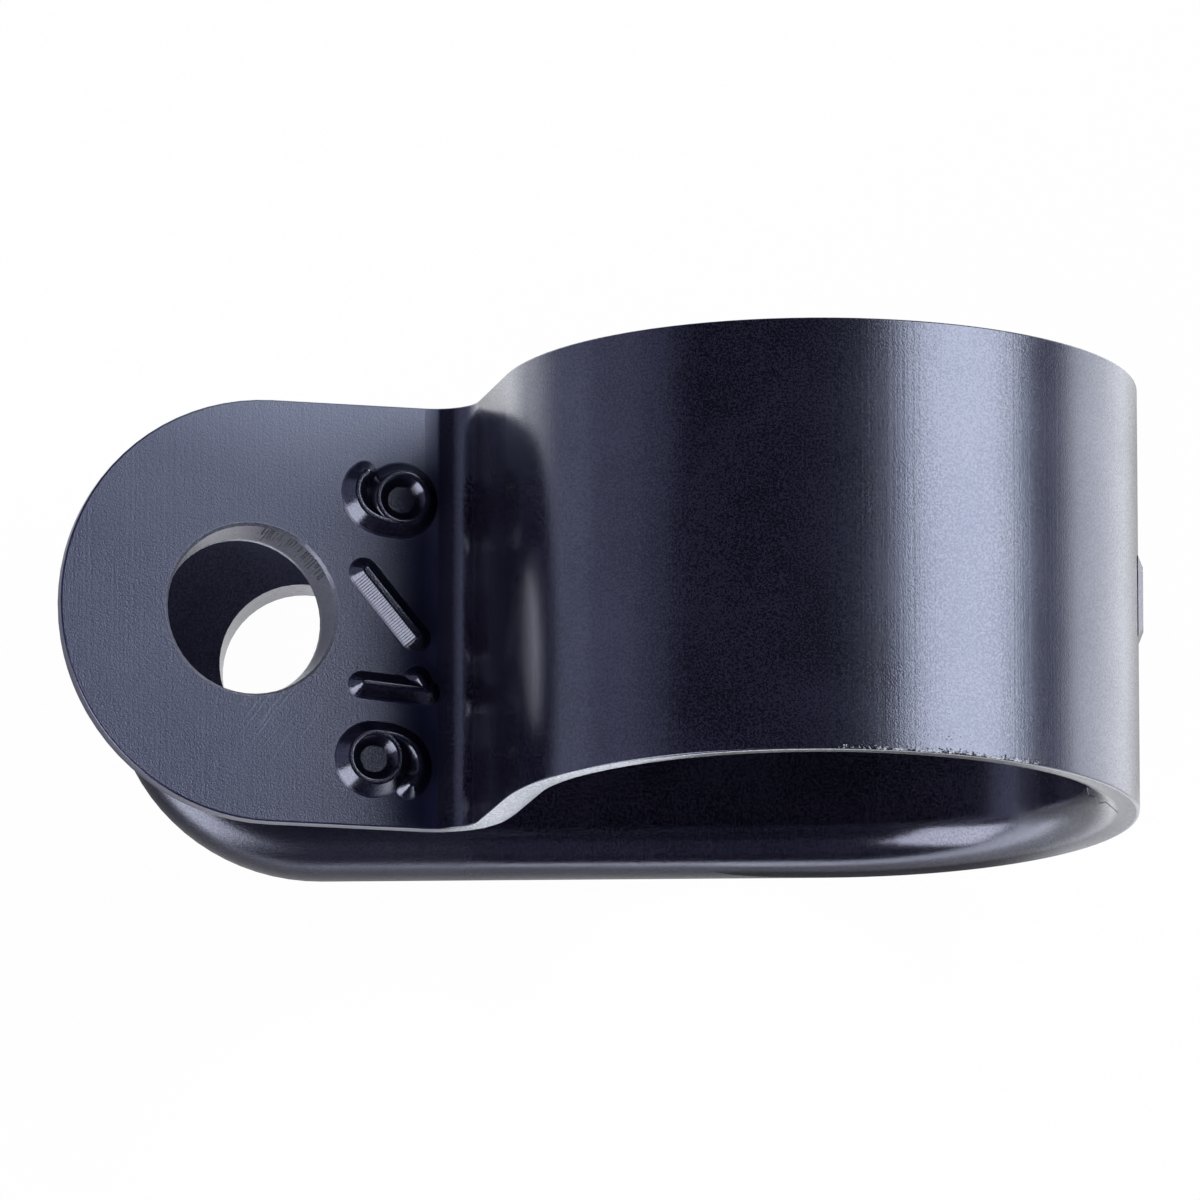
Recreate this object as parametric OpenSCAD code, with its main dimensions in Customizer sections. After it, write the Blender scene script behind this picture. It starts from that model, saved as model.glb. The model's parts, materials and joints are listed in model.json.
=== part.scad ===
// Loop cable clamp, moulded in one piece from nylon.
// A flat strap leaves its lower screw tab along the seat, turns round the cable and folds back into
// an upper screw tab, which stands open until the screw draws the two tabs together.
// X runs from the screw towards the loop, Y along the cable and Z up from the seat.
// The origin is the centre of the lower screw hole, on the seat. All sizes are in millimetres.

/* [Strap] */
// Width of the strap, along the cable
strap_w = 12.7; // [10:0.1:20]
// Thickness of the strap
strap_t = 1.6; // [1.4:0.05:2.2]
// Radius of the edges that face the cable
soft_edge_r = 1.3; // [0.3:0.05:1.3]
// Radius of the edges of the outer face
crisp_edge_r = 0.06; // [0.02:0.01:0.15]

/* [Loop] */
// Inside diameter of the open loop
loop_d = 15.6; // [12:0.1:22]
// Length of the straight flank between the loop and the fold
flank_l = 3.5; // [2.5:0.1:4.5]
// Radius of the fold between the flank and the upper tab, on its outer face
fold_r = 1.3; // [0.6:0.1:2]

/* [Tabs] */
// Distance from the lower screw hole to the centre of the loop
seat_l = 15.65; // [13:0.05:20]
// Angle that the upper tab leans away from the seat
tab_tilt = 16; // [8:0.1:25]
// Distance from the fold to the upper screw hole
tab_l = 5.2; // [4:0.1:8]
// Distance from a screw hole to the end of its tab
tab_end = 5.75; // [4:0.05:7]
// Diameter of the screw holes
hole_d = 4.8; // [3:0.05:5.6]
// Depth of the tapered mouth of the upper hole, on its outer face
mouth_h = 1.3; // [0.4:0.05:1.3]
// Width of the tapered mouth, all round
mouth_w = 0.13; // [0.05:0.01:0.4]
// Width of the broken edge around the mouth of each hole
rim_break = 0.08; // [0.02:0.01:0.2]

/* [Gate stub] */
// Length of the stub along the cable
gate_w = 2.4; // [1:0.1:4]
// Height of the stub
gate_h = 1.2; // [0.6:0.1:2]
// Height that the stub stands proud of the loop
gate_proud = 0.14; // [0.05:0.01:0.4]
// Length of the slope on each side of the stub
gate_slope = 0.3; // [0.05:0.05:0.5]

/* [Hidden] */
$fn = 96;

// Radius of the loop's outer face
loop_r = loop_d / 2 + strap_t;
// The upper tab is folded square to the flank, so the loop stops turning short of the tab's lean
fold_sweep = 90;
loop_sweep = 180 + fold_sweep - tab_tilt;
// The round end of a tab has its centre this far from the hole, towards the loop
end_shift = strap_w / 2 - tab_end;
// Extra depth that carries a cut clear of the face it leaves
clear_cut = 1;
// The flank starts this far inside the end of the loop, and is drawn that little finer all round,
// so that the two join as one solid
join_lap = 0.15;
join_fine = 0.004;
// How much finer than its true size the strap's section is drawn
$finer = 0;

// What a round edge takes off the corner of a square one
module corner(r) {
  difference() {
    square(r);
    circle(r);
  }
}

// The strap cut across: its width along X, its outer face at Y = 0 and its cable side above
module strap_section() {
  half_w = strap_w / 2 - $finer;
  soft = [half_w - soft_edge_r, strap_t - $finer - soft_edge_r];
  crisp = [half_w - crisp_edge_r, $finer + crisp_edge_r];
  difference() {
    translate([-half_w, $finer])
      square([2 * half_w, strap_t - 2 * $finer]);
    translate(soft)
      corner(soft_edge_r);
    translate([-soft[0], soft[1]])
      rotate(90)
        corner(soft_edge_r);
    translate([-crisp[0], crisp[1]])
      rotate(180)
        corner(crisp_edge_r);
    translate(crisp)
      rotate(270)
        corner(crisp_edge_r);
  }
}

// A straight run of strap along X, with its outer face at Z = 0 and its cable side above
module straight(length) {
  rotate([90, 0, 90])
    linear_extrude(length)
      strap_section();
}

// Moves what follows to the far end of a straight run
module past_straight(length) {
  translate([length, 0, 0])
    children();
}

// The strap turned towards the cable, by the radius of its outer face
module turn_in(r, sweep) {
  translate([0, 0, r])
    rotate([90, 0, 0])
      rotate_extrude(angle = sweep, start = -90)
        translate([r, 0])
          rotate(90)
            strap_section();
}

// Moves what follows to the far end of such a turn
module past_turn_in(r, sweep) {
  translate([0, 0, r])
    rotate([0, -sweep, 0])
      translate([0, 0, -r])
        children();
}

// The strap folded away from the cable, by the radius of its outer face
module turn_out(r, sweep) {
  translate([0, 0, -r])
    rotate([90, 0, 0])
      rotate_extrude(angle = sweep, start = 90 - sweep)
        translate([r, 0])
          rotate(-90)
            strap_section();
}

// Moves what follows to the far end of such a fold
module past_turn_out(r, sweep) {
  translate([0, 0, -r])
    rotate([0, sweep, 0])
      translate([0, 0, r])
        children();
}

// The round end of a tab, half a turn about its own centre from the given angle
module round_end(from) {
  rotate_extrude(angle = 180, start = from)
    intersection() {
      strap_section();
      square([strap_w / 2, strap_t]);
    }
}

// A straight screw hole along Z, with a broken edge of the given mouth where it meets the outer face
module screw_hole(mouth_d) {
  translate([0, 0, -clear_cut])
    cylinder(d = hole_d, h = strap_t + 2 * clear_cut);
  translate([0, 0, -clear_cut])
    cylinder(
      d1 = mouth_d + 2 * (rim_break + clear_cut),
      d2 = mouth_d - 2 * rim_break,
      h = clear_cut + 2 * rim_break
    );
}

// The hole of the upper tab, whose mouth tapers so that the screw finds its way in
module lead_in_hole() {
  screw_hole(hole_d + 2 * mouth_w);
  translate([0, 0, -mouth_h])
    cylinder(d1 = hole_d + 4 * mouth_w, d2 = hole_d, h = 2 * mouth_h);
}

// The lower tab and the flat run of strap that lies on the seat
module seat_run() {
  difference() {
    translate([end_shift, 0, 0]) {
      straight(seat_l - end_shift);
      round_end(90);
    }
    screw_hole(hole_d);
  }
}

// The upper tab, from the fold to its round end
module upper_tab() {
  difference() {
    union() {
      straight(tab_l - end_shift);
      past_straight(tab_l - end_shift)
        round_end(-90);
    }
    past_straight(tab_l)
      lead_in_hole();
  }
}

// The stub seen from one side: sunk in the strap on the left, standing proud on the right
module stub_outline(width) {
  sunk = strap_t / 2;
  polygon([
    [-sunk, -width / 2],
    [0, -width / 2],
    [gate_proud, -width / 2 + gate_slope],
    [gate_proud, width / 2 - gate_slope],
    [0, width / 2],
    [-sunk, width / 2]
  ]);
}

// The stub left where the runner was cut from the outermost point of the loop
module gate_stub() {
  translate([loop_r, 0, loop_r])
    intersection() {
      linear_extrude(gate_h, center = true)
        stub_outline(gate_w);
      rotate([90, 0, 0])
        linear_extrude(gate_w, center = true)
          stub_outline(gate_h);
    }
}

// The whole clamp, one moulding, followed along its strap from tab to tab
module clamp() {
  color([0.035, 0.036, 0.045]) {
    seat_run();
    past_straight(seat_l) {
      turn_in(loop_r, loop_sweep);
      gate_stub();
      past_turn_in(loop_r, loop_sweep)
        let ($finer = join_fine) {
          past_straight(-join_lap)
            straight(join_lap + flank_l);
          past_straight(flank_l) {
            turn_out(fold_r, fold_sweep);
            past_turn_out(fold_r, fold_sweep)
              upper_tab();
          }
        }
    }
  }
}

clamp();
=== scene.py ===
# %% [markdown]
# # A nylon cable clamp
# The part is a loop clamp: one moulded strap that goes round a cable and ends in two screw tabs. Its
# shape comes ready made from the construction model. Rendered as it is, it would look like a drawing,
# so this lesson gives it what a photograph adds: a camera, light, the finish of moulded nylon, and the
# small raised and ragged details that the mould leaves on it. All lengths are in metres, and `MM`
# turns millimetres into them.

# %% Load the part
import json
import math
import random

import bmesh
import bpy
from mathutils import Matrix, Vector


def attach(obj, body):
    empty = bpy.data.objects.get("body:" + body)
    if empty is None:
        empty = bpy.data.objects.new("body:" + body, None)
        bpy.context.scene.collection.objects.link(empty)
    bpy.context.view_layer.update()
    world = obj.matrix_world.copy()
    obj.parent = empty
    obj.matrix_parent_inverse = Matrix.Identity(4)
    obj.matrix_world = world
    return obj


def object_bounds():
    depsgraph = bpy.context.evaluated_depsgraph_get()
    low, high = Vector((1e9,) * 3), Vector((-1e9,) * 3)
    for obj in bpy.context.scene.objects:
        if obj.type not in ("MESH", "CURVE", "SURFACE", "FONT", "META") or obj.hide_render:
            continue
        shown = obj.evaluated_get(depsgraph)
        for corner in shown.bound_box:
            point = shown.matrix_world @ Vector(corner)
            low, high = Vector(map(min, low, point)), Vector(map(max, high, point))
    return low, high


MM = 0.001

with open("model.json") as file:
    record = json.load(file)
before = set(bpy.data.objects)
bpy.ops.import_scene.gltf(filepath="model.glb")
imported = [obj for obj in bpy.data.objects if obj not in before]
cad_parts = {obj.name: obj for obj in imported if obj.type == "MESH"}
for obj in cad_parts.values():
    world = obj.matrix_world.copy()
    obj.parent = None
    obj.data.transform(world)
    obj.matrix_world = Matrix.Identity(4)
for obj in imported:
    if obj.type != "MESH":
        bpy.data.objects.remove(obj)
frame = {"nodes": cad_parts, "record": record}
cad_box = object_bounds()
clamp = frame["nodes"]["clamp"]
print("the clamp has", len(clamp.data.polygons), "faces")

# %% [markdown]
# ## Where things are on the strap
# Every detail below sits on the strap, so the script has to know where the strap is. The places could
# be typed in as numbers, but the record of the part already gives its mounts: the two screw holes and
# the loop. What is placed from those stays on the strap if the part changes. The upper tab leans, so
# it gets a small frame of its own: `along` runs from the hole towards the fold, `across` runs along
# the cable and `out` stands off the outer face.

# %% Read the mounts
STRAP_T = 1.6 * MM

mounts = {mount["name"]: mount for mount in frame["record"]["mounts"]}
loop_centre = Vector(mounts["cable_loop"]["pos_m"])
loop_r = mounts["cable_loop"]["dims"]["r_mm"] * MM + STRAP_T
hole_r = mounts["tab_hole"]["dims"]["r_mm"] * MM
strap_half_w = cad_box[1].y
print("the loop is", round(2 * loop_r / MM, 2), "mm across, a hole", round(2 * hole_r / MM, 2), "mm")

# %% Give the upper tab its frame
TAB_MOUNT_DEPTH = 1.45 * MM  # from the tab's outer face down to the mount of its hole

tab_out = Vector(mounts["tab_hole"]["axis"]).normalized()
tab_across = Vector((0, 1, 0))
tab_along = tab_across.cross(tab_out)
tab_hole = Vector(mounts["tab_hole"]["pos_m"]) + tab_out * TAB_MOUNT_DEPTH
tab_frame = Matrix((tab_along, tab_across, tab_out)).transposed().to_4x4()
tab_frame.translation = tab_hole
print("the tab's hole opens at", [round(x / MM, 2) for x in tab_hole], "mm")

# %% [markdown]
# ## The camera
# The photograph looks down on the clamp from the front, a little from the right, with a long lens
# held slightly askew. A camera can be turned by hand until it looks right, but here the angles were
# found by matching the outline of the strap and both holes. The camera's own axes are built from those
# angles, because a roll about the line of sight is simplest to write that way.

# %% Find the camera's axes
VIEW_AZIMUTH = math.radians(10.04)
VIEW_ELEVATION = math.radians(77.38)
VIEW_ROLL = math.radians(-10.28)

back = Vector((
    math.sin(VIEW_AZIMUTH) * math.cos(VIEW_ELEVATION),
    -math.cos(VIEW_AZIMUTH) * math.cos(VIEW_ELEVATION),
    math.sin(VIEW_ELEVATION),
))
level = (-back).cross(Vector((0, 0, 1))).normalized()
upright = level.cross(-back)
right = math.cos(VIEW_ROLL) * level + math.sin(VIEW_ROLL) * upright
up = -math.sin(VIEW_ROLL) * level + math.cos(VIEW_ROLL) * upright
print("the camera's right is", [round(x, 3) for x in right])

# %% Set up the camera
VIEW_DISTANCE = 447.1 * MM
VIEW_TARGET = Vector((9.14, 0.88, 6.0)) * MM
SENSOR = 36.0
LENS = 453.84
NEAREST_SEEN = 0.01

camera_data = bpy.data.cameras.new("camera")
camera_data.sensor_width = SENSOR
camera_data.lens = LENS
camera_data.clip_start = NEAREST_SEEN
camera = bpy.data.objects.new("camera", camera_data)
camera.matrix_world = Matrix((right, up, back)).transposed().to_4x4()
camera.matrix_world.translation = VIEW_TARGET + VIEW_DISTANCE * back
bpy.context.scene.collection.objects.link(camera)
bpy.context.scene.camera = camera
print("the camera stands at", [round(x, 4) for x in camera.location])

# %% [markdown]
# ## Sums on sockets
# A node material is a set of sums. Its nodes could be made and linked one by one, but sums read best
# as sums. `Wire` holds one output socket of a node tree. Adding, multiplying or subtracting wires
# makes the Math nodes, and `node` makes any other node: its settings first, then the values or wires
# for its sockets.

# %% The wire class
class Wire:
    """One output socket, which can be reckoned with."""

    def __init__(self, tree, socket):
        self.tree = tree
        self.socket = socket

    def node(self, kind, settings=None, sockets=None, output=0):
        """Any node: its type, its settings, and the values or wires of its sockets."""
        made = self.tree.nodes.new(kind)
        for name, value in (settings or {}).items():
            setattr(made, name, value)
        for name, value in (sockets or {}).items():
            if isinstance(value, Wire):
                self.tree.links.new(value.socket, made.inputs[name])
            else:
                made.inputs[name].default_value = value
        return Wire(self.tree, made.outputs[output])

    def math(self, operation, *others):
        """A Math node on this value and the others."""
        values = dict(enumerate((self, *others)))
        return self.node("ShaderNodeMath", {"operation": operation}, values)

    def __add__(self, other):
        return self.math("ADD", other)

    def __sub__(self, other):
        return self.math("SUBTRACT", other)

    def __rsub__(self, other):
        return (self * -1.0) + other

    def __mul__(self, other):
        return self.math("MULTIPLY", other)

    __radd__ = __add__
    __rmul__ = __mul__

    def size(self):
        """This value without its sign."""
        return self.math("ABSOLUTE")

    def most(self, other):
        """The larger of two values."""
        return self.math("MAXIMUM", other)

    def vector(self, operation, *others, output=0):
        """A Vector Math node on this vector and the others."""
        values = dict(enumerate((self, *others)))
        return self.node("ShaderNodeVectorMath", {"operation": operation}, values, output)

    def distance(self, point):
        """How far this position is from a point."""
        return self.vector("DISTANCE", point, output=1)

    def length(self):
        """How long this vector is."""
        return self.vector("LENGTH", output=1)

    def along(self, direction):
        """How far this position lies in a direction."""
        return self.vector("DOT_PRODUCT", direction, output=1)

    def stretched(self, x, y, z):
        """This position with each axis multiplied."""
        return self.vector("MULTIPLY", (x, y, z))

    def step(self, low, high):
        """0 at low and 1 at high, with a smooth rise between them."""
        return self.node(
            "ShaderNodeMapRange",
            {"interpolation_type": "SMOOTHSTEP"},
            {"Value": self, "From Min": low, "From Max": high},
        )

    def between(self, rise, fall):
        """1 between two steps: up at the first and down again at the second."""
        return self.step(*rise) - self.step(*fall)

    def within(self, point, near, far):
        """1 up to the near distance from a point, and 0 from the far distance on."""
        return 1 - self.distance(point).step(near, far)

    def noise(self, scale, detail=2.0):
        """Smooth noise from 0 to 1 at this position, with features of about 1 / scale."""
        return self.node(
            "ShaderNodeTexNoise",
            None,
            {"Vector": self, "Scale": scale, "Detail": detail},
        )

    def mix(self, first, second):
        """The first colour where this wire is 0, the second where it is 1."""
        return self.node(
            "ShaderNodeMix",
            {"data_type": "RGBA"},
            {0: self, 6: first, 7: second},
            output=2,
        )

    def blend(self, first, second):
        """The first shader where this wire is 0, the second where it is 1."""
        return self.node("ShaderNodeMixShader", None, {0: self, 1: first, 2: second})


print("a wire can do", [name for name in vars(Wire) if not name.startswith("_")])

# %% Start and finish a material
def source(tree, kind, output):
    """One output of a new node that needs no inputs."""
    return Wire(tree, tree.nodes.new(kind).outputs[output])


def new_material(name):
    """A material with one Principled shader: the material, the shader and the position on the part."""
    material = bpy.data.materials.new(name)
    material.use_nodes = True
    tree = material.node_tree
    return material, tree.nodes["Principled BSDF"], source(tree, "ShaderNodeTexCoord", "Object")


def feed(shader, name, wire):
    """Links a wire to a socket of a shader."""
    wire.tree.links.new(wire.socket, shader.inputs[name])


def show(material, look):
    """Makes a blend of shaders what the material shows."""
    feed(material.node_tree.nodes["Material Output"], "Surface", look)


print("materials so far:", len(bpy.data.materials))

# %% [markdown]
# ## The floor
# The clamp lies on white card. A lamp that is strong enough to burn the card out would burn out the
# nylon's sheen too. So rays from the camera meet a plain white glow, with a small share of the card's
# real shading left in, which keeps the shadow under the strap.

# %% Lay the card
FLOOR_HALF = 1.5
FLOOR_DROP = 0.01 * MM
CARD_WHITE = (0.86, 0.86, 0.86, 1)
PURE_WHITE = (1, 1, 1, 1)
SEEN_SHARE = 0.98

bpy.ops.mesh.primitive_plane_add(size=2 * FLOOR_HALF, location=(0, 0, -FLOOR_DROP))
floor = bpy.context.object
floor.name = "floor"

card, card_shader, card_place = new_material("white_card")
card_shader.inputs["Base Color"].default_value = CARD_WHITE
card_shader.inputs["Roughness"].default_value = 1.0
card_shader.inputs["Specular IOR Level"].default_value = 0.0
lit = Wire(card.node_tree, card_shader.outputs[0])


def glow(strength, colour=PURE_WHITE):
    """Light that the card gives by itself."""
    return lit.node("ShaderNodeEmission", None, {"Color": colour, "Strength": strength})


seen = source(card.node_tree, "ShaderNodeLightPath", "Is Camera Ray")
seen_card = (seen * SEEN_SHARE).blend(lit, glow(1.0))
floor.data.materials.append(card)
print("the floor is", 2 * FLOOR_HALF, "m wide")

# %% [markdown]
# Black nylon is a dark mirror, and most of what it mirrors is this card, which is not white all over.
# Close to the strap it lies in the strap's shade, deepest to the left of the upper tab. Some way off
# it ends on a blue table. Light comes past the strap at its right end, in front of the loop and behind
# the tab, and down the screw holes. Real boards and lamps could be set up for all this. It is simpler
# to paint it on the card by distance, and only rays that the nylon has mirrored get to see it.

# %% Find the open card
SHADE_TO = 9 * MM
HOLE_FADE = 1.5
OPEN_PLACES = [  # a place on the card and its radius, in millimetres
    ((26, -9, 0), 3.0),
    ((14.5, -11.5, 0), 1.5),
    ((-4, 10, 0), 3.0),
]
OPEN_FADE = 2
OPEN_SHARE = 0.7

foot_centre = (cad_box[0] + cad_box[1]) / 2
foot_half = (cad_box[1] - cad_box[0]) / 2
foot_centre.z = 0
foot_half.z = 0
beside = card_place.vector("SUBTRACT", foot_centre).vector("ABSOLUTE").vector("SUBTRACT", foot_half)
clear_of_strap = beside.vector("MAXIMUM", (0, 0, 0)).length()
in_hole = card_place.within((0, 0, 0), hole_r, HOLE_FADE * hole_r)
open_card = clear_of_strap.step(0, SHADE_TO) + in_hole
for spot, radius in OPEN_PLACES:
    in_spot = card_place.within(Vector(spot) * MM, radius * MM, OPEN_FADE * radius * MM)
    open_card = open_card + in_spot * OPEN_SHARE
print("the strap shades the card", round(2 * (foot_half.x + SHADE_TO) / MM, 1), "mm long")

# %% Paint what the nylon mirrors
SHADE = 0.48
TAB_SHADE = 0.18
TAB_SHADE_AT = Vector((-9, -1, 0)) * MM
TAB_SHADE_R = (5 * MM, 9 * MM)
CARD_AT = Vector((40, -5, 0)) * MM
CARD_R = (40 * MM, 85 * MM)
TABLE = (0.47, 0.51, 0.66, 1)

glossy = source(card.node_tree, "ShaderNodeLightPath", "Is Glossy Ray")
passed = source(card.node_tree, "ShaderNodeLightPath", "Is Transmission Ray")
bright_card = lit.node("ShaderNodeAddShader", None, {0: lit, 1: glow(1.0)})
near_card = open_card.blend(glow(SHADE), bright_card)
by_tab = card_place.within(TAB_SHADE_AT, *TAB_SHADE_R) * (1 - in_hole)
near_card = by_tab.blend(near_card, glow(TAB_SHADE))
past_card = card_place.distance(CARD_AT).step(*CARD_R) * (1 - in_hole)
mirrored_card = past_card.blend(near_card, glow(1.0, TABLE))
show(card, (glossy + passed).blend(seen_card, mirrored_card))
print("the card has", len(card.node_tree.nodes), "nodes")

# %% [markdown]
# ## The light
# A soft box on the right gives the broad band of light down the loop. On the left hang two dim panels,
# one behind the other, so that their light fades upwards in two steps. A window on the front left
# makes the glints on the numerals and inside the loop. Nothing hangs overhead, so the top of the loop
# stays dark. Each lamp is placed by the direction and the angle at which the loop sees it, because
# that is what shows in a mirror.

# %% Hang the soft boxes
KEY_BLUE = (0.92, 0.97, 0.98)
FILL_BLUE = (0.80, 0.82, 1.08)
WINDOW_WHITE = (1.0, 1.0, 1.0)


def from_loop(distance, turn, rise):
    """A point at a distance from the loop, turned anticlockwise from the right and raised."""
    turn, rise = math.radians(turn), math.radians(rise)
    ahead = Vector((math.cos(turn), math.sin(turn), 0))
    return loop_centre + distance * (math.cos(rise) * ahead + math.sin(rise) * Vector((0, 0, 1)))


def soft_box(name, colour, distance, turn, rise, wide, tall, radiance):
    """A flat lamp of the given brightness that faces the loop and looks so wide and tall from it."""
    width, height = (2 * distance * math.tan(math.radians(angle) / 2) for angle in (wide, tall))
    data = bpy.data.lights.new(name, "AREA")
    data.shape = "RECTANGLE"
    data.size = width
    data.size_y = height
    data.color = colour
    data.energy = radiance * math.pi * width * height
    lamp = bpy.data.objects.new(name, data)
    lamp.location = from_loop(distance, turn, rise)
    lamp.rotation_mode = "QUATERNION"
    lamp.rotation_quaternion = (loop_centre - lamp.location).to_track_quat("-Z", "Y")
    lamp.visible_camera = False
    bpy.context.scene.collection.objects.link(lamp)
    print(name, "gives", round(data.energy, 3), "W")


soft_box("key_box", KEY_BLUE, distance=0.60, turn=22, rise=32.9, wide=41, tall=42.6, radiance=6.75)
soft_box("left_panel", FILL_BLUE, distance=0.30, turn=165, rise=18.5, wide=44, tall=39, radiance=0.27)
soft_box("left_panel_low", FILL_BLUE, distance=0.31, turn=165, rise=13, wide=44, tall=26, radiance=0.18)
soft_box("front_window", WINDOW_WHITE, distance=0.40, turn=215, rise=22, wide=36, tall=46, radiance=4.7)
soft_box("front_fill", FILL_BLUE, distance=0.50, turn=255, rise=42, wide=40, tall=40, radiance=0.07)

# %% [markdown]
# Spots from above light only the card: a wide pool beside the loop, which its right end mirrors,
# another in front of it, and two small ones close to the strap, which show on the round edge inside
# the loop. The glow of the card could be raised there instead, but it is white already, and a lamp can
# make a place brighter than white.

# %% Light the card
POOL_LAMP_H = 0.4
POOL_SOFT_EDGE = 0.6
POOL_LAMP_R = 0.004


def card_pool(name, at, radius, watts):
    """A round pool of light on the card, given in millimetres."""
    data = bpy.data.lights.new(name, "SPOT")
    data.energy = watts
    data.color = KEY_BLUE
    data.spot_size = 2 * math.atan(radius * MM / POOL_LAMP_H)
    data.spot_blend = POOL_SOFT_EDGE
    data.shadow_soft_size = POOL_LAMP_R
    lamp = bpy.data.objects.new(name, data)
    lamp.location = (at[0] * MM, at[1] * MM, POOL_LAMP_H)
    lamp.visible_glossy = False
    bpy.context.scene.collection.objects.link(lamp)
    print(name, "is", 2 * radius, "mm wide")


card_pool("right_pool", at=(52, 6), radius=26, watts=7.0)
card_pool("front_pool", at=(12, -28), radius=17, watts=5.0)
card_pool("near_pool_left", at=(3, -17), radius=6, watts=12.0)
card_pool("near_pool_right", at=(12.5, -12), radius=3.5, watts=26.0)

# %% [markdown]
# The rest of the room is a dim blue. A picture of a room could be wrapped round the scene, but one
# even colour is enough for the dark parts of the mirror. The camera alone sees it white, like the card.

# %% Dim the room
ROOM = (0.030, 0.034, 0.060, 1)

world = bpy.data.worlds.new("room")
world.use_nodes = True
seen_room = source(world.node_tree, "ShaderNodeLightPath", "Is Camera Ray")
feed(world.node_tree.nodes["Background"], "Color", seen_room.mix(ROOM, PURE_WHITE))
bpy.context.scene.world = world
bpy.context.scene.view_settings.view_transform = "Standard"

# %% [markdown]
# ## Moulded nylon
# Black nylon shows little colour of its own. What the eye reads is its sheen: a soft mirror, broken
# by fine lines that run along the cable, where the mould was milled, and by a faint grain. Where the
# skin of the moulding is a little glassier, a thin coat adds to the mirror in specks. A picture of
# nylon would have to be wrapped round the bends. Noise needs no wrapping, and the noise for the lines
# is stretched along Y, so they follow every bend of the strap by themselves.

# %% Lines, grain and specks
NYLON_IOR = 1.55
NYLON_TINT = (0.72, 0.75, 1.0, 1)
COAT_ROUGHNESS = 0.25
LINE_PITCH = 0.09 * MM
LINE_LENGTH = 22 * MM
GRAIN = 0.048 * MM
CLOUD = 3 * MM
SPECK = 0.062 * MM
SPECK_CLOUD = 0.25
SPECK_EDGE = (0.38, 0.62)

nylon, nylon_shader, place = new_material("black_nylon")
nylon_shader.inputs["IOR"].default_value = NYLON_IOR
nylon_shader.inputs["Specular IOR Level"].default_value = 1.0
nylon_shader.inputs["Specular Tint"].default_value = NYLON_TINT
nylon_shader.inputs["Coat Roughness"].default_value = COAT_ROUGHNESS
lines = place.stretched(1 / LINE_PITCH, 1 / LINE_LENGTH, 1 / LINE_PITCH).noise(1.0, detail=3.0)
grain = place.noise(1 / GRAIN, detail=1.0)
cloud = place.noise(1 / CLOUD, detail=3.0)
specks = place.noise(1 / SPECK, detail=1.0)
speckle = (cloud * SPECK_CLOUD + specks * (1 - SPECK_CLOUD)).step(*SPECK_EDGE)
clamp.data.materials.clear()
clamp.data.materials.append(nylon)
print("the nylon has a line every", LINE_PITCH / MM, "mm")

# %% [markdown]
# The mould was coarse on the outside of the loop and on the tab, most so towards the tab's back.
# Inside the loop, and on whatever stands off the tab, it was polished. The strap could be cut into
# zones with a material each, but the finish changes gradually, so each zone is a mask with soft edges.

# %% Where the mould was coarse
LOOP_OUTSIDE = (loop_r - 0.5 * MM, loop_r - 0.1 * MM)
COARSE_LOOP = (11 * MM, 15 * MM)
COARSE_LOOP_END = (21.8 * MM, 23.2 * MM)
COARSE_TAB = (4.5 * MM, 6.5 * MM)
OFF_FACE = (0.03 * MM, 0.08 * MM)
BACK = (-1 * MM, 7 * MM)
BACK_LEAN = 0.5  # how far the way to the back leans towards the fold

run = place.along((1, 0, 0))
from_axis = place.stretched(1, 0, 1).distance((loop_centre.x, 0, loop_centre.z))
coarse_loop = run.between(COARSE_LOOP, COARSE_LOOP_END) * from_axis.step(*LOOP_OUTSIDE)
from_tab = place.vector("SUBTRACT", tab_hole)
off_tab = from_tab.along(tab_out)
coarse_tab = (1 - run.step(*COARSE_TAB)) * (1 - off_tab.step(*OFF_FACE))
to_back = from_tab.along(tab_across + BACK_LEAN * tab_along).step(*BACK)
print("the loop is coarse from", COARSE_LOOP[0] / MM, "to", COARSE_LOOP_END[1] / MM, "mm")

# %% [markdown]
# In front of the upper hole the tab has a few faint slanting scuffs. They could be cut into the mesh,
# but they are too shallow to show in outline. They are noise again, stretched along the scuff and kept
# to a small round patch.

# %% Scuff the tab
SCUFF_AT = Vector((0.7, -3.2)) * MM
SCUFF_RUN = (0.60, 0.80)
SCUFF_PITCH = 0.14 * MM
SCUFF_LENGTH = 2.5 * MM
SCUFF_EDGE = (0.50, 0.66)
SCUFF_PATCH = (0.6 * MM, 1.7 * MM)

scuff_centre = tab_hole + SCUFF_AT.x * tab_along + SCUFF_AT.y * tab_across
scuff_run = SCUFF_RUN[0] * tab_along + SCUFF_RUN[1] * tab_across
scuff_side = SCUFF_RUN[0] * tab_across - SCUFF_RUN[1] * tab_along
scuff_place = place.node("ShaderNodeCombineXYZ", None, {
    "X": place.along(scuff_side) * (1 / SCUFF_PITCH),
    "Y": place.along(scuff_run) * (1 / SCUFF_LENGTH),
})
scuff = scuff_place.noise(1.0).step(*SCUFF_EDGE) * place.within(scuff_centre, *SCUFF_PATCH)
print("the scuffs are at", [round(x / MM, 2) for x in scuff_centre], "mm")
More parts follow.
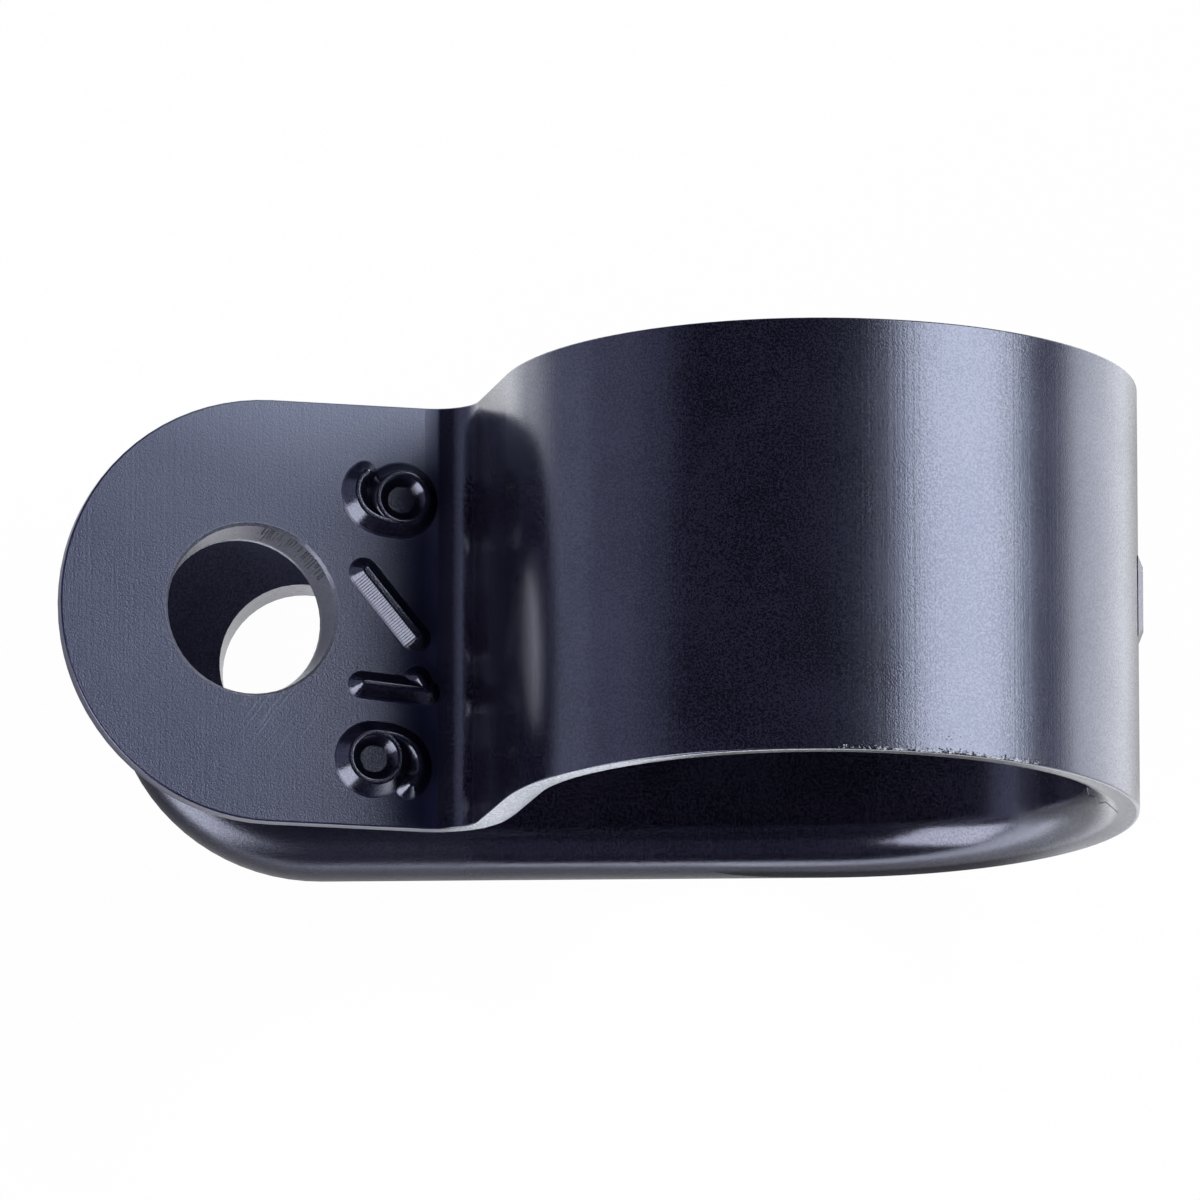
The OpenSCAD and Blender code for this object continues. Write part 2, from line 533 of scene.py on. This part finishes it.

# %% [markdown]
# The colour is nearly black, a little paler in the specks. The upper tab has a faint bluish bloom.
# Its back corner next to the loop has painted light: a pale blue-grey where light would come past the
# loop's back end. The scuffs are paler too. The tab could have a material of its own, but all these
# are mixed in by masks, so that the black below them is set in one place.

# %% Colour the nylon
NYLON_DARK = (0.0006, 0.0005, 0.0022, 1)
NYLON_PALE = (0.0150, 0.0134, 0.0280, 1)
NYLON_BLOOM = (0.012, 0.012, 0.060, 1)
# painted light: pale blue-grey for the tab's back corner, also the colour of the real scuffs
NYLON_LIT_CORNER_AND_SCUFFS = (0.087, 0.095, 0.140, 1)
UPPER_TAB = (-2.5 * MM, -1.7 * MM)
BLOOM = 0.5
CORNER_LIGHT = (3.4 * MM, 7.1 * MM)
CORNER_LIGHT_LEAN = 0.3
SCUFF_RUBBED = 0.35

black = speckle.mix(NYLON_DARK, NYLON_PALE)
bloom = coarse_tab * off_tab.step(*UPPER_TAB) * BLOOM
# painted light on the tab's back corner, where light would come past the loop; the scuffs are paler too
corner_light_and_scuffs = from_tab.along(tab_across + CORNER_LIGHT_LEAN * tab_along).step(*CORNER_LIGHT) * coarse_tab
corner_light_and_scuffs = corner_light_and_scuffs.most(scuff * SCUFF_RUBBED)
feed(nylon_shader, "Base Color", corner_light_and_scuffs.mix(bloom.mix(black, NYLON_BLOOM), NYLON_LIT_CORNER_AND_SCUFFS))
print("rubbed nylon is", round(NYLON_LIT_CORNER_AND_SCUFFS[2] / NYLON_PALE[2], 1), "times as blue as a speck")

# %% [markdown]
# The lines and the grain also stand up a little, so that they break the mirror as they do on the real
# strap. Relief this fine would need millions of faces, so a Bump node tilts the shading instead.

# %% Give the nylon sheen and relief
ROUGH = 0.14
ROUGH_LOOP = 0.08
ROUGH_TAB = 0.115
ROUGH_TAB_BACK = 0.10
ROUGH_CLOUD = 0.03
ROUGH_LINES = 0.04
ROUGH_SCUFF = 0.08
COAT = 0.42
RELIEF = 0.008 * MM
LINES_UP = 0.15
LINES_UP_LOOP = 0.35
LINES_UP_TAB = 0.08
GRAIN_UP = 0.34
GRAIN_UP_COARSE = 0.32
SCUFF_UP = 0.3

sheen = ROUGH + coarse_loop * ROUGH_LOOP + coarse_tab * (ROUGH_TAB + to_back * ROUGH_TAB_BACK)
sheen = sheen + cloud * ROUGH_CLOUD + lines * ROUGH_LINES + scuff * ROUGH_SCUFF
feed(nylon_shader, "Roughness", sheen)
feed(nylon_shader, "Coat Weight", speckle * COAT)
relief = lines * (LINES_UP + coarse_loop * LINES_UP_LOOP + coarse_tab * LINES_UP_TAB)
relief = relief + scuff * SCUFF_UP
relief = relief + grain * (GRAIN_UP + coarse_loop * GRAIN_UP_COARSE + coarse_tab * GRAIN_UP_COARSE)
bumps = relief.node("ShaderNodeBump", None, {"Height": relief, "Distance": RELIEF})
feed(nylon_shader, "Normal", bumps)
print("the relief is", RELIEF / MM, "mm deep")

# %% [markdown]
# The narrow sides of the loop have lost their sheen, as if a blade had trimmed them, all but a thin
# line at the very corner. Towards the right some of the sheen comes back. On the flank the side gets
# a painted highlight: a pale, dull colour in place of the bright reflection it would show. These places
# could be faces with a material of their own, but they fade out at their ends, so they are masks too.

# %% Find the trimmed sides and the painted highlight on the flank
TRIM_SIDE = (strap_half_w - 0.12 * MM, strap_half_w - 0.03 * MM)
TRIM_DEPTH = (loop_r - 0.9 * MM, loop_r - 0.6 * MM)
TRIM_CORNER = (loop_r - 0.13 * MM, loop_r - 0.06 * MM)
TRIM_FROM = (10.5 * MM, 13 * MM)
TRIM_TO = (19.5 * MM, 23 * MM)
TRIM_FADES = 0.55
SIDEWAYS = (0.45, 0.75)
FLANK_HIGHLIGHT_RISE = (4.0 * MM, 6.0 * MM)
FLANK_HIGHLIGHT_FROM = (3.5 * MM, 6.0 * MM)
FLANK_HIGHLIGHT_TO = (10.0 * MM, 12.5 * MM)

to_side = place.along((0, 1, 0)).size()
trimmed = to_side.step(*TRIM_SIDE) * from_axis.between(TRIM_DEPTH, TRIM_CORNER)
trimmed = trimmed * run.step(*TRIM_FROM) * (1 - run.step(*TRIM_TO) * TRIM_FADES)
facing = source(nylon.node_tree, "ShaderNodeTexCoord", "Normal")
sideways = facing.along((0, 1, 0)).size().step(*SIDEWAYS)
# painted highlight: the flank's side is made pale in place of the bright reflection it would show
flank_highlight = sideways * place.along((0, 0, 1)).step(*FLANK_HIGHLIGHT_RISE)
flank_highlight = flank_highlight * run.between(FLANK_HIGHLIGHT_FROM, FLANK_HIGHLIGHT_TO)
print("the trimmed sides reach", round((loop_r - TRIM_DEPTH[0]) / MM, 2), "mm in")

# %% [markdown]
# The wall of the upper hole gets a little painted light, a pale and dull colour, and most at its lower
# rim, towards the back, where a painted highlight draws a bright line. The faces of the wall could be
# picked out, but the bright line is only a part of them. So the masks measure how far a point is from
# the hole's axis and how high it is over the tab's face. Below the face that height is negative.

# %% Find the painted light in the upper hole
MOUTH_R = (2.60 * MM, 2.66 * MM)
MOUTH_DEPTH = (-1.70 * MM, -1.50 * MM)
RIM_BELOW = (-1.66 * MM, -1.60 * MM)
RIM_ABOVE = (-1.48 * MM, -1.36 * MM)
RIM_SIDE = (0.2 * MM, 2.0 * MM)
RIM_LEAN = -0.5

from_hole = from_tab.vector("CROSS_PRODUCT", tab_out).length()
in_mouth = 1 - from_hole.step(*MOUTH_R)
# painted light: the wall of the hole is made a little pale
hole_light = in_mouth * off_tab.step(*MOUTH_DEPTH)
# painted highlight: a bright line at the hole's lower rim, towards the back
bright_rim = in_mouth * off_tab.between(RIM_BELOW, RIM_ABOVE)
bright_rim = bright_rim * from_tab.along(tab_across + RIM_LEAN * tab_along).step(*RIM_SIDE)
print("the bright rim is", round((RIM_ABOVE[1] - RIM_BELOW[0]) / MM, 2), "mm tall")

# %% [markdown]
# A second, dull shader is mixed in at all these places. Its colour is black on the trimmed sides, and
# pale where light is painted on the flank and in the hole. Raising the roughness of the first one would
# not do, because rough nylon still mirrors the lamps and these dull places hardly do.

# %% Dull the trimmed sides and paint light on the flank and in the hole
PAINTED_LIGHT_DIM = (0.45, 0.47, 0.53, 1)
PAINTED_LIGHT_PALE = (0.80, 0.82, 0.88, 1)
DULL_ROUGHNESS = 0.7
DULL_MIRROR = 0.2
DULL_TRIMMED = 0.92
DULL_FLANK_HIGHLIGHT = 0.8
DULL_HOLE_LIGHT = 0.15
DULL_RIM = 0.85

# painted light: the pale colour of the flank's highlight and of the hole's wall
pale = speckle.mix(PAINTED_LIGHT_DIM, PAINTED_LIGHT_PALE)
dull = place.node("ShaderNodeBsdfPrincipled", None, {
    "Base Color": flank_highlight.most(hole_light).mix(black, pale),
    "Roughness": DULL_ROUGHNESS,
    "Specular IOR Level": DULL_MIRROR,
})
dulled = (trimmed * DULL_TRIMMED).most(flank_highlight * DULL_FLANK_HIGHLIGHT)
dulled = dulled.most(hole_light * DULL_HOLE_LIGHT + bright_rim * DULL_RIM)
show(nylon, dulled.blend(Wire(nylon.node_tree, nylon_shader.outputs[0]), dull))
print("the nylon has", len(nylon.node_tree.nodes), "nodes")

# %% [markdown]
# ## The size mark
# Raised numerals beside the fold give the size of the cable. They look cut into the mould with a
# tapered cutter: each stroke is a ridge with sloping sides, round shoulders and round ends. A text
# object with a bevel could stand in for them, but its strokes would be a printer's and not a cutter's.
# So a stroke is drawn as a line of points on the tab, and a ridge is swept along it.

# %% A ridge cut across
RIDGE_H = 0.41 * MM
RIDGE_SLOPE = math.radians(50)
RIDGE_SUNK = 0.06 * MM
SHOULDER_R = 0.09 * MM
SHOULDER_STEPS = 14
NARROW_TOP = 0.03 * MM
WIDE_TOP = 0.06 * MM


def half_ridge(flat):
    """Half a ridge, from the middle of its top to its foot, as pairs of distance out and height."""
    half = [(0, RIDGE_H)]
    for i in range(SHOULDER_STEPS + 1):
        lean = RIDGE_SLOPE * i / SHOULDER_STEPS
        half.append((flat + SHOULDER_R * math.sin(lean), RIDGE_H - SHOULDER_R * (1 - math.cos(lean))))
    out, height = half[-1]
    half.append((out + (height + RIDGE_SUNK) / math.tan(RIDGE_SLOPE), -RIDGE_SUNK))
    return half


print("a ridge is", round(2 * half_ridge(NARROW_TOP)[-1][0] / MM, 2), "mm wide at its foot")

# %% [markdown]
# Turned about the last point of a stroke, the same ridge makes its round end, as the cutter does when
# it stops. The end overlaps the stroke and is not joined to it, which shows no seam.

# %% Turn a ridge about a point
END_STEPS = 72


def join_rows(mesh, rows):
    """Faces between neighbouring rows of vertices, where each row is a ring."""
    for first, second in zip(rows, rows[1:]):
        for j in range(len(first)):
            mesh.faces.new((first[j - 1], second[j - 1], second[j], first[j]))


def turn_ridge(mesh, centre, half):
    """A ridge turned about a point."""
    rows = []
    for out, height in half[1:]:
        row = []
        for i in range(END_STEPS):
            turn = 2 * math.pi * i / END_STEPS
            x = centre.x + out * math.cos(turn)
            y = centre.y + out * math.sin(turn)
            row.append(mesh.verts.new((x, y, height)))
        rows.append(row)
    mesh.faces.new(rows[0])
    join_rows(mesh, rows)
    mesh.faces.new(reversed(rows[-1]))


print("a round end has", END_STEPS, "sides")

# %% Sweep a ridge along a line
def sweep_ridge(mesh, points, flat, closed=False):
    """A ridge along points on the tab, with round ends unless it is closed."""
    half = half_ridge(flat)
    section = half[:0:-1] + [(-out, height) for out, height in half]
    count = len(points)
    rows = []
    for i, point in enumerate(points):
        before = points[i - 1] if closed else points[max(i - 1, 0)]
        after = points[(i + 1) % count] if closed else points[min(i + 1, count - 1)]
        ahead = (after - before).normalized()
        aside = Vector((-ahead.y, ahead.x))
        row = []
        for out, height in section:
            flat_point = point + aside * out
            row.append(mesh.verts.new((flat_point.x, flat_point.y, height)))
        rows.append(row)
    if closed:
        join_rows(mesh, rows + rows[:1])
        return
    join_rows(mesh, rows)
    mesh.faces.new(rows[0])
    mesh.faces.new(reversed(rows[-1]))
    for end in (points[0], points[-1]):
        turn_ridge(mesh, end, half)


print("a ridge has", 2 * len(half_ridge(WIDE_TOP)) - 1, "points across")

# %% [markdown]
# Three kinds of line are needed. A curve is rounded through a few points, a straight stroke runs
# between two, and the slanting stroke has small steps along it, as the cutter leaves them.

# %% Lines for the strokes
STEP_SHARE = 0.75


def on_tab(pairs):
    """Points on the tab, given in millimetres along and across it."""
    return [Vector(pair) * MM for pair in pairs]


def stepped(start, end, cuts, depth):
    """A straight line with small steps along it."""
    aside = Vector((start.y - end.y, end.x - start.x)).normalized() * depth
    line = []
    for i in range(cuts):
        line.append(start.lerp(end, i / cuts))
        line.append(start.lerp(end, (i + STEP_SHARE) / cuts) + aside)
    return line + [end]


def rounded(points, steps):
    """A smooth line through the points."""
    ends = [2 * points[0] - points[1], *points, 2 * points[-1] - points[-2]]
    line = []
    for p, q, r, s in zip(ends, ends[1:], ends[2:], ends[3:]):
        bend = 2 * p - 5 * q + 4 * r - s
        twist = 3 * (q - r) + s - p
        for i in range(steps):
            t = i / steps
            line.append(q + 0.5 * t * (r - p + t * (bend + t * twist)))
    return line + [points[-1]]


print("three points make a line of", len(rounded(on_tab([(0, 0), (1, 1), (2, 0)]), 4)), "points")

# %% [markdown]
# The nine is a round bowl with a raised floor and a curved tail. The six could be drawn by itself, but
# it is the nine turned half a turn, so one function makes both. The points of the strokes are in
# millimetres along and across the tab.

# %% Draw the numerals
NINE_AT = Vector((4.46, 3.50)) * MM
SIX_AT = Vector((3.66, -4.33)) * MM
BOWL_R = 0.74 * MM
BOWL_STEPS = 96
BOWL_FLOOR_R = 0.43 * MM
BOWL_FLOOR_H = 0.09 * MM
BOWL_FLOOR = [(0, BOWL_FLOOR_H), (BOWL_FLOOR_R, BOWL_FLOOR_H), (BOWL_FLOOR_R, -RIDGE_SUNK)]
TAIL = [
    (0, -0.74), (-0.50, -0.70), (-0.87, -0.58), (-1.15, -0.38), (-1.33, -0.05), (-1.36, 0.28),
    (-1.26, 0.56), (-1.08, 0.74),
]
TAIL_STEPS = 12
SLASH = [(3.36, 1.28), (4.94, -0.61)]
SLASH_CUTS = 30
SLASH_CUT_DEPTH = -0.012 * MM
ONE_STEM = [(3.32, -2.10), (5.30, -2.25)]
ONE_FLAG = [(5.20, -2.24), (5.00, -1.88)]


def bowl_and_tail(mesh, centre, turn):
    """A nine about the centre of its bowl, or a six where turn is -1."""
    circle = []
    for i in range(BOWL_STEPS):
        angle = 2 * math.pi * i / BOWL_STEPS
        circle.append(centre + BOWL_R * Vector((math.cos(angle), math.sin(angle))))
    sweep_ridge(mesh, circle, NARROW_TOP, closed=True)
    turn_ridge(mesh, centre, BOWL_FLOOR)
    sweep_ridge(mesh, rounded([centre + turn * p for p in on_tab(TAIL)], TAIL_STEPS), NARROW_TOP)


mark_mesh = bmesh.new()
bowl_and_tail(mark_mesh, NINE_AT, 1)
bowl_and_tail(mark_mesh, SIX_AT, -1)
sweep_ridge(mark_mesh, stepped(*on_tab(SLASH), SLASH_CUTS, SLASH_CUT_DEPTH), WIDE_TOP)
sweep_ridge(mark_mesh, on_tab(ONE_STEM), NARROW_TOP)
sweep_ridge(mark_mesh, on_tab(ONE_FLAG), NARROW_TOP)
mark_mesh.transform(tab_frame)
print("the numerals have", len(mark_mesh.verts), "points")

# %% [markdown]
# Each mesh becomes a piece that rides with the clamp. Soft bends are shaded smooth, and anything
# sharper than a few degrees keeps its edge. A bevel could soften those edges too, but at this size it
# would not be seen.

# %% Make a piece
SHARP = math.radians(6)


def add_piece(name, mesh, material):
    """Turns a finished mesh into a piece that rides with the clamp."""
    bmesh.ops.recalc_face_normals(mesh, faces=mesh.faces)
    data = bpy.data.meshes.new(name)
    mesh.to_mesh(data)
    mesh.free()
    data.shade_smooth()
    data.set_sharp_from_angle(angle=SHARP)
    data.materials.append(material)
    piece = bpy.data.objects.new(name, data)
    bpy.context.scene.collection.objects.link(piece)
    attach(piece, "root")
    print(name, "has", len(data.polygons), "faces")


add_piece("size_mark", mark_mesh, nylon)

# %% [markdown]
# ## Flash and wear
# Where the halves of a mould meet, a little nylon creeps out as flash. Along the front edge of the loop
# it looks torn, and torn nylon is pale. A pale line could be painted there, but torn flash catches the
# light on many small faces. So it is built from small chips with a ragged lip below them.

# %% Torn nylon
TORN_DARK = (0.010, 0.010, 0.016, 1)
TORN_PALE = (0.66, 0.69, 0.75, 1)
TORN_PATCH = 0.12 * MM
TORN_EDGE = (0.44, 0.58)
TORN_ROUGH = 0.25
TORN_ROUGH_PALE = 0.3

torn, torn_shader, torn_place = new_material("torn_nylon")
torn_shader.inputs["IOR"].default_value = NYLON_IOR
torn_mix = torn_place.noise(1 / TORN_PATCH).step(*TORN_EDGE)
feed(torn_shader, "Base Color", torn_mix.mix(TORN_DARK, TORN_PALE))
feed(torn_shader, "Roughness", TORN_ROUGH + torn_mix * TORN_ROUGH_PALE)
print("torn nylon is pale in patches of", TORN_PATCH / MM, "mm")

# %% [markdown]
# A chip is a crooked little pyramid, and a lip is a thin three-sided ridge. Both are laid at points
# that know which way is out and which way is sideways, so they can sit on any face of the strap. Their
# feet are sunk a little, because a foot that only touches a round face would leave gaps.

# %% Chips and lips
SUNK = 0.02 * MM
CHIP_SIDES = 5
CHIP_TURN = 0.3
CHIP_SPREAD = (0.6, 1.3)
CHIP_LEAN = 0.5


def raise_chip(mesh, point, out, side, radius, height, luck):
    """A crooked pyramid that stands out from a point."""
    ahead = out.cross(side)
    ring = []
    for i in range(CHIP_SIDES):
        turn = 2 * math.pi * (i + luck.uniform(-CHIP_TURN, CHIP_TURN)) / CHIP_SIDES
        reach = radius * luck.uniform(*CHIP_SPREAD)
        foot = point + reach * (math.cos(turn) * side + math.sin(turn) * ahead)
        ring.append(mesh.verts.new(foot - SUNK * out))
    lean_side = radius * luck.uniform(-CHIP_LEAN, CHIP_LEAN)
    lean_ahead = radius * luck.uniform(-CHIP_LEAN, CHIP_LEAN)
    top = mesh.verts.new(point + height * out + lean_side * side + lean_ahead * ahead)
    mesh.faces.new(ring)
    for i in range(CHIP_SIDES):
        mesh.faces.new((ring[i - 1], top, ring[i]))


def raise_lip(mesh, rows, half_width):
    """A three-sided ridge through rows of point, out, side and height."""
    rings = []
    for point, out, side, height in rows:
        feet = (point + s * half_width * side - SUNK * out for s in (1, -1))
        rings.append([mesh.verts.new(p) for p in (*feet, point + height * out)])
    join_rows(mesh, rings)
    mesh.faces.new(rings[0])
    mesh.faces.new(reversed(rings[-1]))


print("a chip has", CHIP_SIDES + 1, "faces")

# %% [markdown]
# The chips grow with the distance from the top of the loop. A list of chips could be typed in, but
# chance places them more naturally, and a fixed seed places them the same way each time. They stay
# lower than the top of the loop, so the part keeps its height. Places round the loop are in degrees
# right of its top.

# %% Scatter the chips on the loop's front edge
FLASH_SEED = 4
FLASH_FROM = 5.0
FLASH_TO = 44.0
FLASH_CHIPS = 170
CHIP_R_LEAST = 0.018 * MM
CHIP_R_MOST = 0.028 * MM
CHIP_R_GROWS = 0.028 * MM
CHIP_GROWN_AT = 22
CHIP_H = (0.4, 1.1)  # in radii of the chip
CHIP_HEADROOM = 0.8
CHIP_INSET = 1.4  # in radii of the chip
CHIP_INSET_SPREAD = 0.05 * MM


def on_loop(angle, inset):
    """A point on the loop's outer face, so many degrees right of its top and in from the front edge."""
    turn = math.radians(angle)
    out = Vector((math.sin(turn), 0, math.cos(turn)))
    return loop_centre + loop_r * out + Vector((0, inset - strap_half_w, 0)), out


luck = random.Random(FLASH_SEED)
cable_way = Vector((0, 1, 0))
flash = bmesh.new()
for _ in range(FLASH_CHIPS):
    angle = luck.uniform(FLASH_FROM, FLASH_TO)
    headroom = loop_r * (1 / math.cos(math.radians(angle)) - 1)
    radius = luck.uniform(CHIP_R_LEAST, CHIP_R_MOST + CHIP_R_GROWS * min(1, angle / CHIP_GROWN_AT))
    height = min(radius * luck.uniform(*CHIP_H), CHIP_HEADROOM * headroom)
    inset = CHIP_INSET * radius + abs(luck.gauss(0, CHIP_INSET_SPREAD))
    point, out = on_loop(angle, inset)
    raise_chip(flash, point, out, cable_way, radius, height, luck)
print("the flash has", FLASH_CHIPS, "chips")

# %% [markdown]
# In a few places the tear has spread into a small star on the face of the loop, and a ragged lip runs
# below all the chips. Both use the same chance as the chips, so they are made right after them.

# %% Add the stars and the lip
STARS = [  # degrees right of the top, and how far in from the edge
    (22.5, 0.50 * MM),
    (24.5, 0.62 * MM),
    (25.5, 0.40 * MM),
    (29.0, 0.42 * MM),
]
STAR_CHIPS = 8
STAR_TURN = 0.8
STAR_SPREAD = 0.10 * MM
STAR_CHIP_R = (0.02 * MM, 0.045 * MM)
STAR_CHIP_H = 0.015 * MM
LIP_STEP = 0.35
LIP_INSET = (0.036 * MM, 0.060 * MM)
LIP_H = (0.002 * MM, 0.028 * MM)
LIP_HALF_W = 0.03 * MM

for angle, inset in STARS:
    for _ in range(STAR_CHIPS):
        chip_angle = angle + luck.gauss(0, STAR_TURN)
        chip_inset = inset + luck.gauss(0, STAR_SPREAD)
        point, out = on_loop(chip_angle, chip_inset)
        raise_chip(flash, point, out, cable_way, luck.uniform(*STAR_CHIP_R), STAR_CHIP_H, luck)

lip = []
for i in range(int((FLASH_TO - FLASH_FROM) / LIP_STEP)):
    point, out = on_loop(FLASH_FROM + i * LIP_STEP, luck.uniform(*LIP_INSET))
    lip.append((point, out, cable_way, luck.uniform(*LIP_H)))
raise_lip(flash, lip, LIP_HALF_W)
add_piece("edge_flash", flash, torn)

# %% [markdown]
# On the right the round edge of the strap has a fine crooked crease. A bump could draw it, but it
# crosses a strong highlight, which a real ridge breaks better. Each of its points is given by how far
# it lies round the edge and round the loop, in degrees.

# %% The crease on the round edge
SOFT_EDGE_R = 1.3 * MM
CREASE = [(80, 100), (70, 94), (62, 96), (50, 90), (42, 92), (32, 86), (24, 88), (15, 92)]
CREASE_H = 0.018 * MM
CREASE_HALF_W = 0.03 * MM

core_r = loop_r - STRAP_T + SOFT_EDGE_R
crease_rows = []
for round_edge, round_loop in CREASE:
    edge_turn = math.radians(round_edge)
    loop_turn = math.radians(round_loop)
    radial = Vector((math.sin(loop_turn), 0, math.cos(loop_turn)))
    out = -math.sin(edge_turn) * radial - math.cos(edge_turn) * cable_way
    core = loop_centre + core_r * radial - (strap_half_w - SOFT_EDGE_R) * cable_way
    crease_rows.append((core + SOFT_EDGE_R * out, out, radial.cross(cable_way), CREASE_H))
crease = bmesh.new()
raise_lip(crease, crease_rows, CREASE_HALF_W)
add_piece("edge_crease", crease, nylon)

# %% [markdown]
# The wall of the upper hole has short marks in line with the hole, such as the pin of a mould leaves.
# They keep the glassy black of the skin, so they show dark against the worn wall. Masks could draw
# them too, but the marks are narrow, and lips that stand off the wall keep them sharp.

# %% Pressed nylon
PRESSED_EDGE = (0.40, 0.65)
PRESSED_ROUGH = 0.25
PRESSED_ROUGH_PALE = 0.2

pressed, pressed_shader, pressed_place = new_material("pressed_nylon")
pressed_shader.inputs["IOR"].default_value = NYLON_IOR
pressed_mix = pressed_place.noise(1 / SPECK).step(*PRESSED_EDGE)
feed(pressed_shader, "Base Color", pressed_mix.mix(NYLON_DARK, NYLON_PALE))
feed(pressed_shader, "Roughness", PRESSED_ROUGH + pressed_mix * PRESSED_ROUGH_PALE)
print("pressed nylon is rough by", PRESSED_ROUGH, "to", PRESSED_ROUGH + PRESSED_ROUGH_PALE)

# %% The marks in the upper hole
MARKS_FROM = 28  # degrees round the hole, from the fold towards the back
MARKS_TO = 80
MARKS = 24
MARK_SHIFT = 0.3
MARK_TOP = 0.12 * MM
MARK_TOP_SPREAD = (1, 2)
MARK_BOTTOM = 1.25 * MM
MARK_BOTTOM_SPREAD = (0.5, 1)
MARK_H = (0.01 * MM, 0.03 * MM)
MARK_HALF_W = 0.045 * MM
HOLE_MOUTH_R = 2.53 * MM
HOLE_MOUTH_H = 1.3 * MM

marks = bmesh.new()
for i in range(MARKS):
    share = (i + luck.uniform(-MARK_SHIFT, MARK_SHIFT)) / (MARKS - 1)
    turn = math.radians(MARKS_FROM + (MARKS_TO - MARKS_FROM) * share)
    radial = math.cos(turn) * tab_along + math.sin(turn) * tab_across
    top = MARK_TOP * luck.uniform(*MARK_TOP_SPREAD)
    bottom = MARK_BOTTOM * luck.uniform(*MARK_BOTTOM_SPREAD)
    rows = []
    for depth in (top, bottom):
        wall_r = HOLE_MOUTH_R + (hole_r - HOLE_MOUTH_R) * depth / HOLE_MOUTH_H
        point = tab_hole + wall_r * radial - depth * tab_out
        rows.append((point, -radial, tab_out.cross(radial), luck.uniform(*MARK_H)))
    raise_lip(marks, rows, MARK_HALF_W)
add_piece("hole_marks", marks, pressed)

# %% [markdown]
